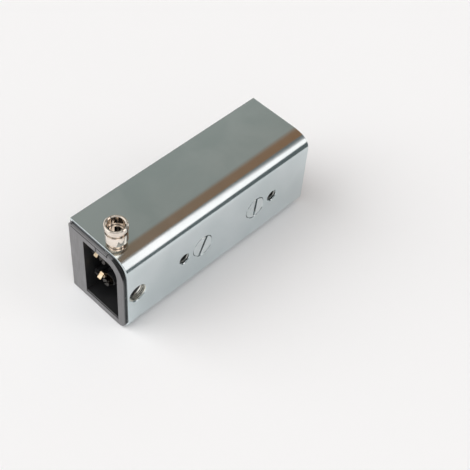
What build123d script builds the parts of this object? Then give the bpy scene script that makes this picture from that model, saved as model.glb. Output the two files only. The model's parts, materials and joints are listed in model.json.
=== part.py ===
from build123d import *
from math import cos, radians, sin
import os

# Frame: X from the pole face to the mounting web, Y from the terminal end to the far end, Z up.
# The origin is the middle of the bottom of the whole object. Sizes are in millimetres.

# Sheet channel
chan_length = 90.0
chan_width = 29.3
chan_height = 36.5
sheet_t = 1.2
bend_r = 5.0
bend_entry_r = 16.0
bend_entry_angle = 16.0
sheet_edge = 0.12
front_proud = 0.9

# Holes of the web, as distances from the front edge of the steel
entry_setback = 4.5
mount_pitch = 45.0
mount_bore_d = 4.5
mount_mouth = 0.3
mount_depth = 14.0
screw_pitch = 27.0
entry_bore_d = 7.4
entry_mouth = 0.25

# Flush screws that hold the core
screw_head_d = 9.4
screw_shank_d = 5.0
screw_length = 16.0
screw_gap = 0.15
screw_edge = 0.2
screw_slot_w = 1.1
screw_slot_depth = 1.4
screw_lean_front = 24.0
screw_lean_rear = 6.0

# E shaped core and coil
coil_end_gap = 2.35
core_back = 6.0
outer_leg = 5.0
centre_leg = 10.0
bobbin_wall = 0.8
bobbin_flange = 1.0
bobbin_recess = 1.4
coil_clearance = 0.75
tape_t = 0.3
flange_clearance = 0.25
coil_corner_r = 2.5
resin_recess = 0.3

# Terminal housing
chamber_depth = 9.0
back_wall = 2.0
insert_cover = 0.8
fit_gap = 0.1
rim_foot = 0.3
rim_top_left_r = 1.2
window_left = 7.4
window_low = 3.6
rim_side_w = 3.3
rim_top_w = 3.8
housing_corner_r = 9.0
housing_foot_r = 3.5
body_corner_r = 6.9
window_corner_r = 5.0
sill_step = 0.5
sill_depth = 0.35
slit_left = 1.2
slit_margin = 8.2
slit_gap = 0.45
tongue_t = 0.7
slit_depth = 1.6
notch_w = 0.35
notch_at = 14.2

# Terminals, as distances from the pole face and from the front edge of the steel
screw_from_pole = 14.7
screw_below_mid = 5.9
terminal_rise = 11.2
terminal_stagger = 1.35
boss_d = 5.0
boss_front = 4.2
insert_d = 3.4
clamp_thread_d = 2.0
clamp_head_d = 3.3
clamp_head_h = 1.2
clamp_slot_w = 0.6
clamp_slot_depth = 0.6
clamp_length = 4.2
plate_t = 0.8
plate_reach = 1.5
tag_w = 1.8
tag_offset = 3.1
tag_foot = 1.8
tag_length = 2.6
tag_t = 0.6
lead_d = 0.9
lead_offset = 5.45
lead_rise = 0.4
lead_tip = 2.45
collar_d = 2.6
collar_front = 3.0

# Cable nipple and threaded bushes
nipple_from_web = 10.3
nipple_height = 10.0
nipple_lip_d = 8.3
nipple_lip_h = 1.9
nipple_groove_d = 7.0
nipple_groove_h = 1.7
nipple_collar_d = 8.0
nipple_neck_d = 5.8
nipple_neck_h = 2.6
nipple_bore_d = 6.2
nipple_bore_depth = 4.2
nipple_hole_d = 4.8
nipple_edge = 0.35
bush_d = 9.0
bush_length = 1.4
bush_gap = 0.25

# Far end closure
cap_t = 2.4
cap_recess = 0.4
cap_edge = 0.4

# Derived positions
bend_shift = bend_entry_r - bend_r
bend_sin = sin(radians(bend_entry_angle))
bend_cos = cos(radians(bend_entry_angle))
x_pole = -chan_width / 2
x_web = chan_width / 2
x_inner = x_web - sheet_t
y_front = (front_proud - chan_length) / 2
y_back = y_front + chan_length
y_entry = y_front + entry_setback
housing_depth = chamber_depth + back_wall
insert_length = housing_depth - insert_cover - boss_front
y_housing = y_front + housing_depth
y_cap = y_back - cap_recess - cap_t
y_pattern = (y_housing + y_cap) / 2
z_mid = chan_height / 2
z_low = sheet_t
z_high = chan_height - sheet_t
inner_height = z_high - z_low
inner_width = x_inner - x_pole
x_back = x_inner - core_back
window_span = (inner_height - 2 * outer_leg - centre_leg) / 2
flange_reach = window_span - flange_clearance
winding_build = window_span - bobbin_wall - tape_t - coil_clearance
core_length = y_cap - y_housing - 2 * (coil_end_gap + winding_build + bobbin_wall)
y_core = y_pattern - core_length / 2
x_flange_pole = x_pole + bobbin_recess
x_wind_low = x_flange_pole + bobbin_flange
x_wind_high = x_back - bobbin_flange
wind_length = x_wind_high - x_wind_low
tube_y = core_length + 2 * bobbin_wall
tube_z = centre_leg + 2 * bobbin_wall
coil_y = tube_y + 2 * winding_build
coil_z = tube_z + 2 * winding_build
tape_y = coil_y + 2 * tape_t
tape_z = coil_z + 2 * tape_t
flange_y = core_length + 2 * flange_reach
flange_z = centre_leg + 2 * flange_reach
y_chamber = y_front + chamber_depth
rim_right = x_inner - fit_gap
rim_high = z_high - fit_gap
rim_width = rim_right - x_pole
window_right = rim_width - rim_side_w
window_high = rim_high - rim_top_w
slit_right = rim_width - slit_margin
screw_head_h = (screw_head_d - screw_shank_d) / 2
y_screw_front = y_pattern - screw_pitch / 2
y_screw_rear = y_pattern + screw_pitch / 2
x_nipple = x_web - nipple_from_web
z_bush = z_high - bush_gap - bush_length
x_bush = x_inner - bush_gap - bush_length
x_screw_low = x_pole + screw_from_pole
x_screw_up = x_screw_low - terminal_stagger
z_screw_low = z_mid - screw_below_mid
z_screw_up = z_screw_low + terminal_rise
y_boss = y_front + boss_front
y_plate = y_boss - plate_t
y_head = y_plate - clamp_head_h
x_lead_low = x_screw_low - lead_offset
x_lead_up = x_screw_up - lead_offset
z_lead_low = z_screw_low + lead_rise
z_lead_up = z_screw_up + lead_rise
y_tip = y_front + lead_tip
y_wind = y_pattern - coil_y / 2

# Work planes
front = Plane((0, y_front, 0), x_dir=(1, 0, 0), z_dir=(0, -1, 0))
web = Plane((x_web, 0, 0), x_dir=(0, 1, 0), z_dir=(1, 0, 0))
top = Plane((0, 0, chan_height), x_dir=(1, 0, 0), z_dir=(0, 0, 1))
os.makedirs("parts", exist_ok=True)


# Outline that is square towards the pole face and bent towards the web, by a wide arc that runs into a tight one
def bent_outline(left, inset):
    right = x_web - inset
    high = chan_height - inset
    wide = (x_web - bend_r - bend_shift * bend_sin, chan_height - bend_entry_r)
    tight = (x_web - bend_r, wide[1] + bend_shift * bend_cos)
    with BuildSketch() as outline:
        with BuildLine():
            Polyline((right, z_mid), (left, z_mid), (left, high), (wide[0], high))
            CenterArc(wide, bend_entry_r - inset, 90, -bend_entry_angle)
            CenterArc(tight, bend_r - inset, 90 - bend_entry_angle, bend_entry_angle - 90)
            Line((right, tight[1]), (right, z_mid))
        make_face()
        mirror(about=Plane.XZ.offset(-z_mid))
    return outline.sketch


# Bent sheet channel, open towards the pole face
with BuildPart() as housing_channel:
    with BuildSketch(front):
        add(bent_outline(x_pole, 0))
    extrude(amount=-chan_length)
    chamfer(faces().sort_by(Axis.Y)[0].edges() + faces().sort_by(Axis.Y)[-1].edges(), length=sheet_edge)
    with BuildSketch(front):
        add(bent_outline(x_pole - sheet_t, sheet_t))
    extrude(amount=-chan_length, mode=Mode.SUBTRACT)
    with Locations(web.location * Location((y_pattern, z_mid, 0))):
        with GridLocations(mount_pitch, chan_height, 2, 1):
            CounterSinkHole(mount_bore_d / 2, mount_bore_d / 2 + mount_mouth, sheet_t * 2, 90)
        with GridLocations(screw_pitch, chan_height, 2, 1):
            CounterSinkHole(screw_shank_d / 2 + screw_gap, screw_head_d / 2 + screw_gap, sheet_t * 2, 90)
    with Locations(web.location * Location((y_entry, z_mid, 0))):
        CounterSinkHole(entry_bore_d / 2, entry_bore_d / 2 + entry_mouth, sheet_t * 2, 90)
    with Locations(top.location * Location((x_nipple, y_entry, 0))):
        Hole(entry_bore_d / 2, depth=sheet_t * 2)
housing_channel.part.label = "housing_channel"
export_step(housing_channel.part, "parts/housing_channel.step")

# E shaped core with the tapped mounting holes and the seats of the flush screws
with BuildPart() as pole_core:
    with BuildSketch(front.offset(y_front - y_core)):
        add(bent_outline(x_pole, sheet_t))
        with Locations((x_pole, z_mid)):
            with GridLocations(1, centre_leg + window_span, 1, 2):
                Rectangle(x_back - x_pole, window_span, align=(Align.MIN, Align.CENTER), mode=Mode.SUBTRACT)
    extrude(amount=-core_length)
    with Locations(web.location * Location((y_pattern, z_mid, 0))):
        with GridLocations(mount_pitch, chan_height, 2, 1):
            Hole(mount_bore_d / 2, depth=mount_depth)
        with GridLocations(screw_pitch, chan_height, 2, 1):
            CounterSinkHole(screw_shank_d / 2, screw_head_d / 2, screw_length + 1, 90)
pole_core.part.label = "pole_core"
export_step(pole_core.part, "parts/pole_core.step")

# Flush slotted screws
with BuildPart() as core_screw_front:
    with BuildSketch(Plane((x_web, y_screw_front, z_mid))):
        with BuildLine():
            Polyline(
                (0, 0),
                (0, screw_head_d / 2 - 2 * screw_edge),
                (-screw_edge, screw_head_d / 2 - screw_edge),
                (-screw_head_h, screw_shank_d / 2),
                (-screw_length, screw_shank_d / 2),
                (-screw_length, 0),
                close=True,
            )
        make_face()
    revolve(axis=Axis((x_web, y_screw_front, z_mid), (1, 0, 0)))
    with BuildSketch(web):
        with Locations((y_screw_front, z_mid)):
            Rectangle(screw_slot_w, screw_head_d * 2, rotation=-screw_lean_front)
    extrude(amount=-screw_slot_depth, mode=Mode.SUBTRACT)
core_screw_front.part.label = "core_screw_front"
export_step(core_screw_front.part, "parts/core_screw_front.step")

with BuildPart() as core_screw_rear:
    with BuildSketch(Plane((x_web, y_screw_rear, z_mid))):
        with BuildLine():
            Polyline(
                (0, 0),
                (0, screw_head_d / 2 - 2 * screw_edge),
                (-screw_edge, screw_head_d / 2 - screw_edge),
                (-screw_head_h, screw_shank_d / 2),
                (-screw_length, screw_shank_d / 2),
                (-screw_length, 0),
                close=True,
            )
        make_face()
    revolve(axis=Axis((x_web, y_screw_rear, z_mid), (1, 0, 0)))
    with BuildSketch(web):
        with Locations((y_screw_rear, z_mid)):
            Rectangle(screw_slot_w, screw_head_d * 2, rotation=-screw_lean_rear)
    extrude(amount=-screw_slot_depth, mode=Mode.SUBTRACT)
core_screw_rear.part.label = "core_screw_rear"
export_step(core_screw_rear.part, "parts/core_screw_rear.step")

# Spool on the centre leg
with BuildPart() as coil_bobbin:
    with BuildSketch(Plane((x_flange_pole, y_pattern, z_mid), x_dir=(0, 1, 0), z_dir=(1, 0, 0))):
        Rectangle(flange_y, flange_z)
    extrude(amount=bobbin_flange)
    with BuildSketch(Plane((x_wind_high, y_pattern, z_mid), x_dir=(0, 1, 0), z_dir=(1, 0, 0))):
        Rectangle(flange_y, flange_z)
    extrude(amount=bobbin_flange)
    with BuildSketch(Plane((x_wind_low, y_pattern, z_mid), x_dir=(0, 1, 0), z_dir=(1, 0, 0))):
        Rectangle(tube_y, tube_z)
    extrude(amount=wind_length)
    with BuildSketch(Plane((x_flange_pole, y_pattern, z_mid), x_dir=(0, 1, 0), z_dir=(1, 0, 0))):
        Rectangle(core_length, centre_leg)
    extrude(amount=x_back - x_flange_pole, mode=Mode.SUBTRACT)
coil_bobbin.part.label = "coil_bobbin"
export_step(coil_bobbin.part, "parts/coil_bobbin.step")

# Copper winding
with BuildPart() as coil_winding:
    with BuildSketch(Plane((x_wind_low, y_pattern, z_mid), x_dir=(0, 1, 0), z_dir=(1, 0, 0))):
        RectangleRounded(coil_y, coil_z, coil_corner_r)
        Rectangle(tube_y, tube_z, mode=Mode.SUBTRACT)
    extrude(amount=wind_length)
coil_winding.part.label = "coil_winding"
export_step(coil_winding.part, "parts/coil_winding.step")

# Insulating wrap of the winding, with the two holes for the leads
with BuildPart() as winding_tape:
    with BuildSketch(Plane((x_wind_low, y_pattern, z_mid), x_dir=(0, 1, 0), z_dir=(1, 0, 0))):
        RectangleRounded(tape_y, tape_z, coil_corner_r + tape_t)
        RectangleRounded(coil_y, coil_z, coil_corner_r, mode=Mode.SUBTRACT)
    extrude(amount=wind_length)
    with BuildSketch(front.offset(y_front - y_wind)):
        with Locations((x_lead_low, z_lead_low), (x_lead_up, z_lead_up)):
            Circle(lead_d / 2)
    extrude(amount=tape_t * 2, mode=Mode.SUBTRACT)
winding_tape.part.label = "winding_tape"
export_step(winding_tape.part, "parts/winding_tape.step")

# Casting resin between the terminal housing and the rear cap
with BuildPart() as potting_resin:
    with BuildSketch(front.offset(y_front - y_housing)):
        add(bent_outline(x_pole + resin_recess, sheet_t))
    extrude(amount=y_housing - y_cap)
    with BuildSketch(front.offset(y_front - y_core)):
        with Locations((x_pole + inner_width / 2, z_mid)):
            Rectangle(inner_width, inner_height)
        with Locations((x_pole, z_mid)):
            with GridLocations(1, centre_leg + window_span, 1, 2):
                Rectangle(x_back - x_pole, window_span, align=(Align.MIN, Align.CENTER), mode=Mode.SUBTRACT)
    extrude(amount=-core_length, mode=Mode.SUBTRACT)
    with BuildSketch(Plane((x_wind_low, y_pattern, z_mid), x_dir=(0, 1, 0), z_dir=(1, 0, 0))):
        RectangleRounded(tape_y, tape_z, coil_corner_r + tape_t)
    extrude(amount=wind_length, mode=Mode.SUBTRACT)
    with BuildSketch(Plane((x_flange_pole, y_pattern, z_mid), x_dir=(0, 1, 0), z_dir=(1, 0, 0))):
        Rectangle(flange_y, flange_z)
    extrude(amount=bobbin_flange, mode=Mode.SUBTRACT)
    with BuildSketch(Plane((x_wind_high, y_pattern, z_mid), x_dir=(0, 1, 0), z_dir=(1, 0, 0))):
        Rectangle(flange_y, flange_z)
    extrude(amount=bobbin_flange, mode=Mode.SUBTRACT)
    with BuildSketch(front.offset(y_front - y_wind)):
        with Locations((x_lead_low, z_lead_low), (x_lead_up, z_lead_up)):
            Circle(lead_d / 2)
    extrude(amount=y_wind - y_housing, mode=Mode.SUBTRACT)
potting_resin.part.label = "potting_resin"
export_step(potting_resin.part, "parts/potting_resin.step")

# Closure of the far end
with BuildPart() as rear_cap:
    with BuildSketch(front.offset(y_front - y_cap)):
        add(bent_outline(x_pole, sheet_t))
    extrude(amount=-cap_t)
    chamfer(faces().sort_by(Axis.Y)[-1].edges(), length=cap_edge)
rear_cap.part.label = "rear_cap"
export_step(rear_cap.part, "parts/rear_cap.step")

# Moulded terminal housing: proud rim, body, chamber, bosses, collars, slit and entries
with BuildPart() as terminal_housing:
    with BuildSketch(front):
        with Locations((x_pole, rim_foot)):
            Rectangle(rim_width, rim_high - rim_foot, align=(Align.MIN, Align.MIN))
        fillet(vertices().group_by(Axis.X)[-1].sort_by(Axis.Y)[-1], radius=housing_corner_r)
        fillet(vertices().group_by(Axis.X)[-1].sort_by(Axis.Y)[0], radius=housing_foot_r)
        fillet(vertices().group_by(Axis.X)[0].sort_by(Axis.Y)[-1], radius=rim_top_left_r)
    extrude(amount=front_proud)
    with BuildSketch(front):
        with Locations((x_pole, z_low + fit_gap)):
            Rectangle(rim_width, rim_high - z_low - fit_gap, align=(Align.MIN, Align.MIN))
        fillet(vertices().group_by(Axis.X)[-1], radius=body_corner_r)
    extrude(amount=-housing_depth)
    with BuildSketch(front.offset(front_proud)):
        with Locations((x_pole + window_left, window_low)):
            Rectangle(window_right - window_left, window_high - window_low, align=(Align.MIN, Align.MIN))
        fillet(vertices().group_by(Axis.X)[-1].sort_by(Axis.Y)[-1], radius=window_corner_r)
    extrude(amount=-front_proud - chamber_depth, mode=Mode.SUBTRACT)
    with BuildSketch(front.offset(front_proud)):
        with Locations((x_pole + window_left, window_low - sill_step)):
            Rectangle(window_right - window_left, sill_step * 2, align=(Align.MIN, Align.MIN))
    extrude(amount=-sill_depth, mode=Mode.SUBTRACT)
    with BuildSketch(front.offset(front_proud)):
        with Locations((x_pole + slit_left, rim_high + fit_gap)):
            Rectangle(slit_right - slit_left, slit_gap, align=(Align.MIN, Align.MAX))
        with Locations((x_pole + slit_left, rim_high + fit_gap - slit_gap - tongue_t)):
            Rectangle(slit_right - slit_left, slit_gap, align=(Align.MIN, Align.MAX))
        with Locations((x_pole + slit_right, rim_high + fit_gap)):
            Rectangle(slit_gap, tongue_t + 2 * slit_gap, align=(Align.MIN, Align.MAX))
    extrude(amount=-slit_depth, mode=Mode.SUBTRACT)
    with BuildSketch(front.offset(front_proud)):
        with Locations((x_pole + notch_at, window_high)):
            Rectangle(notch_w, rim_high - window_high - slit_gap - tongue_t, align=(Align.CENTER, Align.MIN))
    extrude(amount=-notch_w, mode=Mode.SUBTRACT)
    with BuildSketch(front.offset(y_front - y_chamber)):
        with Locations((x_screw_low, z_screw_low), (x_screw_up, z_screw_up)):
            Circle(boss_d / 2)
    extrude(amount=y_chamber - y_boss)
    with BuildSketch(front.offset(y_front - y_chamber)):
        with Locations((x_lead_low, z_lead_low), (x_lead_up, z_lead_up)):
            Circle(collar_d / 2)
    extrude(amount=chamber_depth - collar_front)
    with BuildSketch(front.offset(y_front - y_boss)):
        with Locations((x_screw_low, z_screw_low), (x_screw_up, z_screw_up)):
            Circle(insert_d / 2)
    extrude(amount=-insert_length, mode=Mode.SUBTRACT)
    with BuildSketch(front.offset(y_front - y_housing)):
        with Locations((x_lead_low, z_lead_low), (x_lead_up, z_lead_up)):
            Circle(lead_d / 2)
    extrude(amount=housing_depth, mode=Mode.SUBTRACT)
    with BuildSketch(Plane((x_bush, y_entry, z_mid), x_dir=(0, 1, 0), z_dir=(1, 0, 0))):
        Circle(bush_d / 2)
    extrude(amount=bush_length + bush_gap, mode=Mode.SUBTRACT)
    with BuildSketch(Plane((x_nipple, y_entry, z_bush))):
        Circle(bush_d / 2)
    extrude(amount=bush_length + bush_gap, mode=Mode.SUBTRACT)
    with BuildSketch(Plane((x_bush, y_entry, z_mid), x_dir=(0, 1, 0), z_dir=(1, 0, 0))):
        Circle(entry_bore_d / 2)
    extrude(amount=-rim_side_w, mode=Mode.SUBTRACT)
    with BuildSketch(Plane((x_nipple, y_entry, z_bush))):
        Circle(entry_bore_d / 2)
    extrude(amount=-rim_top_w, mode=Mode.SUBTRACT)
terminal_housing.part.label = "terminal_housing"
export_step(terminal_housing.part, "parts/terminal_housing.step")

# Threaded bushes of the two cable entries
with BuildPart() as entry_insert_side:
    with BuildSketch(Plane((x_bush, y_entry, z_mid), x_dir=(0, 1, 0), z_dir=(1, 0, 0))):
        Circle(bush_d / 2)
        Circle(entry_bore_d / 2, mode=Mode.SUBTRACT)
    extrude(amount=bush_length)
entry_insert_side.part.label = "entry_insert_side"
export_step(entry_insert_side.part, "parts/entry_insert_side.step")

with BuildPart() as entry_insert_top:
    with BuildSketch(Plane((x_nipple, y_entry, z_bush))):
        Circle(bush_d / 2)
        Circle(entry_bore_d / 2, mode=Mode.SUBTRACT)
    extrude(amount=bush_length)
entry_insert_top.part.label = "entry_insert_top"
export_step(entry_insert_top.part, "parts/entry_insert_top.step")

# Hollow cable nipple: thread, neck, collar, groove and lip
with BuildPart() as cable_nipple:
    with BuildSketch(Plane((x_nipple, y_entry, chan_height), x_dir=(1, 0, 0), z_dir=(0, -1, 0))):
        with BuildLine():
            Polyline(
                (nipple_hole_d / 2, z_bush - chan_height),
                (entry_bore_d / 2, z_bush - chan_height),
                (entry_bore_d / 2, 0),
                (nipple_neck_d / 2, 0),
                (nipple_neck_d / 2, nipple_neck_h),
                (nipple_collar_d / 2, nipple_neck_h),
                (nipple_collar_d / 2, nipple_height - nipple_lip_h - nipple_groove_h),
                (nipple_groove_d / 2, nipple_height - nipple_lip_h - nipple_groove_h),
                (nipple_groove_d / 2, nipple_height - nipple_lip_h),
                (nipple_lip_d / 2, nipple_height - nipple_lip_h),
                (nipple_lip_d / 2, nipple_height),
                (nipple_bore_d / 2, nipple_height),
                (nipple_bore_d / 2, nipple_height - nipple_bore_depth),
                (nipple_hole_d / 2, nipple_height - nipple_bore_depth),
                close=True,
            )
        make_face()
    revolve(axis=Axis((x_nipple, y_entry, 0), (0, 0, 1)))
    chamfer(edges().filter_by(GeomType.CIRCLE).group_by(Axis.Z)[-1], length=nipple_edge)
cable_nipple.part.label = "cable_nipple"
export_step(cable_nipple.part, "parts/cable_nipple.step")

# Brass threads of the clamp screws
with BuildPart() as terminal_insert_lower:
    with BuildSketch(Plane((x_screw_low, y_boss, z_screw_low), x_dir=(1, 0, 0), z_dir=(0, -1, 0))):
        Circle(insert_d / 2)
        Circle(clamp_thread_d / 2, mode=Mode.SUBTRACT)
    extrude(amount=-insert_length)
terminal_insert_lower.part.label = "terminal_insert_lower"
export_step(terminal_insert_lower.part, "parts/terminal_insert_lower.step")

with BuildPart() as terminal_insert_upper:
    with BuildSketch(Plane((x_screw_up, y_boss, z_screw_up), x_dir=(1, 0, 0), z_dir=(0, -1, 0))):
        Circle(insert_d / 2)
        Circle(clamp_thread_d / 2, mode=Mode.SUBTRACT)
    extrude(amount=-insert_length)
terminal_insert_upper.part.label = "terminal_insert_upper"
export_step(terminal_insert_upper.part, "parts/terminal_insert_upper.step")

# Brass terminal plates, each with an arm whose solder tag leans forwards and down
with BuildPart() as terminal_plate_lower:
    with BuildSketch(Plane((x_screw_low, y_boss, z_screw_low), x_dir=(1, 0, 0), z_dir=(0, -1, 0))):
        Rectangle(plate_reach * 2, plate_reach * 2)
        with Locations((-tag_offset, 0)):
            Rectangle(tag_w, tag_foot, align=(Align.CENTER, Align.MIN))
        with Locations((-tag_offset, 0)):
            Rectangle(tag_offset, tag_w, align=(Align.MIN, Align.CENTER))
        Circle(clamp_thread_d / 2, mode=Mode.SUBTRACT)
    extrude(amount=plate_t)
    with BuildSketch(Plane((x_screw_low - tag_offset, y_plate, z_screw_low + tag_foot), (1, 0, 0), (0, -1, 1))):
        Rectangle(tag_w, tag_length, align=(Align.CENTER, Align.MAX))
    extrude(amount=-tag_t)
terminal_plate_lower.part.label = "terminal_plate_lower"
export_step(terminal_plate_lower.part, "parts/terminal_plate_lower.step")

with BuildPart() as terminal_plate_upper:
    with BuildSketch(Plane((x_screw_up, y_boss, z_screw_up), x_dir=(1, 0, 0), z_dir=(0, -1, 0))):
        Rectangle(plate_reach * 2, plate_reach * 2)
        with Locations((-tag_offset, 0)):
            Rectangle(tag_w, tag_foot, align=(Align.CENTER, Align.MIN))
        with Locations((-tag_offset, 0)):
            Rectangle(tag_offset, tag_w, align=(Align.MIN, Align.CENTER))
        Circle(clamp_thread_d / 2, mode=Mode.SUBTRACT)
    extrude(amount=plate_t)
    with BuildSketch(Plane((x_screw_up - tag_offset, y_plate, z_screw_up + tag_foot), (1, 0, 0), (0, -1, 1))):
        Rectangle(tag_w, tag_length, align=(Align.CENTER, Align.MAX))
    extrude(amount=-tag_t)
terminal_plate_upper.part.label = "terminal_plate_upper"
export_step(terminal_plate_upper.part, "parts/terminal_plate_upper.step")

# Slotted clamp screws
with BuildPart() as terminal_screw_lower:
    with BuildSketch(Plane((x_screw_low, y_plate, z_screw_low), x_dir=(1, 0, 0), z_dir=(0, -1, 0))):
        Circle(clamp_head_d / 2)
    extrude(amount=clamp_head_h)
    with BuildSketch(Plane((x_screw_low, y_plate, z_screw_low), x_dir=(1, 0, 0), z_dir=(0, -1, 0))):
        Circle(clamp_thread_d / 2)
    extrude(amount=-clamp_length)
    with BuildSketch(Plane((x_screw_low, y_head, z_screw_low), x_dir=(1, 0, 0), z_dir=(0, -1, 0))):
        Rectangle(clamp_slot_w, clamp_head_d * 2, rotation=-45)
    extrude(amount=-clamp_slot_depth, mode=Mode.SUBTRACT)
terminal_screw_lower.part.label = "terminal_screw_lower"
export_step(terminal_screw_lower.part, "parts/terminal_screw_lower.step")

with BuildPart() as terminal_screw_upper:
    with BuildSketch(Plane((x_screw_up, y_plate, z_screw_up), x_dir=(1, 0, 0), z_dir=(0, -1, 0))):
        Circle(clamp_head_d / 2)
    extrude(amount=clamp_head_h)
    with BuildSketch(Plane((x_screw_up, y_plate, z_screw_up), x_dir=(1, 0, 0), z_dir=(0, -1, 0))):
        Circle(clamp_thread_d / 2)
    extrude(amount=-clamp_length)
    with BuildSketch(Plane((x_screw_up, y_head, z_screw_up), x_dir=(1, 0, 0), z_dir=(0, -1, 0))):
        Rectangle(clamp_slot_w, clamp_head_d * 2, rotation=-30)
    extrude(amount=-clamp_slot_depth, mode=Mode.SUBTRACT)
terminal_screw_upper.part.label = "terminal_screw_upper"
export_step(terminal_screw_upper.part, "parts/terminal_screw_upper.step")

# Coil leads, straight through the collars and bent to the side of the solder tags
with BuildPart() as coil_lead_lower:
    with BuildLine(Plane((0, 0, z_lead_low))) as lead_path_low:
        Polyline((x_lead_low, y_wind), (x_lead_low, y_tip), (x_screw_low - tag_offset - tag_w / 2, y_tip))
    with BuildSketch(Plane((x_lead_low, y_wind, z_lead_low), x_dir=(1, 0, 0), z_dir=(0, -1, 0))):
        Circle(lead_d / 2)
    sweep(path=lead_path_low.wire(), transition=Transition.RIGHT)
coil_lead_lower.part.label = "coil_lead_lower"
export_step(coil_lead_lower.part, "parts/coil_lead_lower.step")

with BuildPart() as coil_lead_upper:
    with BuildLine(Plane((0, 0, z_lead_up))) as lead_path_up:
        Polyline((x_lead_up, y_wind), (x_lead_up, y_tip), (x_screw_up - tag_offset - tag_w / 2, y_tip))
    with BuildSketch(Plane((x_lead_up, y_wind, z_lead_up), x_dir=(1, 0, 0), z_dir=(0, -1, 0))):
        Circle(lead_d / 2)
    sweep(path=lead_path_up.wire(), transition=Transition.RIGHT)
coil_lead_upper.part.label = "coil_lead_upper"
export_step(coil_lead_upper.part, "parts/coil_lead_upper.step")
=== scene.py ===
"""Looks of an electromagnetic door holder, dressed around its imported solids.

The solids come from the frame in metres and keep their place. This script adds the cut threads, gives every
solid a procedural finish, and sets up the floor, the soft studio light and the camera.
"""

from __future__ import annotations

import json
import logging
import math
from dataclasses import dataclass, field, replace
from enum import Enum

import bpy
from mathutils import Matrix, Vector

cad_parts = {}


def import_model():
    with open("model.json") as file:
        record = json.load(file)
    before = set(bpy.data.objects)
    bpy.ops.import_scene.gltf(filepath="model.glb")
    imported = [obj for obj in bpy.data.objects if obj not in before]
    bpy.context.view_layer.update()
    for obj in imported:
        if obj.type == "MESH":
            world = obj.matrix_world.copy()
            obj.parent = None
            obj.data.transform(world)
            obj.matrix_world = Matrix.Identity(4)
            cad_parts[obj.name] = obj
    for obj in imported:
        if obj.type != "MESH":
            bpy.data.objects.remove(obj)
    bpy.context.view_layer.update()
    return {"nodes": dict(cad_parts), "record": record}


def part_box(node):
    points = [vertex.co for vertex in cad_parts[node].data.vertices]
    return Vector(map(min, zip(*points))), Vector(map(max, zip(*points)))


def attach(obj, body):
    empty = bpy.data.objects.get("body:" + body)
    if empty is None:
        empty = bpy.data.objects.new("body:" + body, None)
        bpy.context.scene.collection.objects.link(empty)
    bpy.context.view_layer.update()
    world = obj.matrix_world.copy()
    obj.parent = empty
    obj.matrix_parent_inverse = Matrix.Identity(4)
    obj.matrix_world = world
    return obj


MM = 0.001
MERGE_REACH = 1e-7
# A wave texture turns by this angle per unit of length at scale 1.
WAVE_RATE = 20.0
ROOT = "root"
LOG = logging.getLogger("door_holder")

Colour = tuple[float, float, float]
Triple = tuple[float, float, float]
Span = tuple[float, float]


class Direction(Enum):
    """Axis of the frame that a grain or a bore follows."""

    X = 0
    Y = 1
    Z = 2

    def stretch(self, along: float, across: float) -> Triple:
        """Gives the scales of a pattern that runs along this axis.

        Args:
            along: scale along the axis.
            across: scale across it.

        Returns:
            The scales in X, Y and Z.
        """
        scales = [across, across, across]
        scales[self.value] = along
        return (scales[0], scales[1], scales[2])

    def vector(self) -> Vector:
        """Unit vector of the axis."""
        return Vector([1.0 if i == self.value else 0.0 for i in range(3)])


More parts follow.
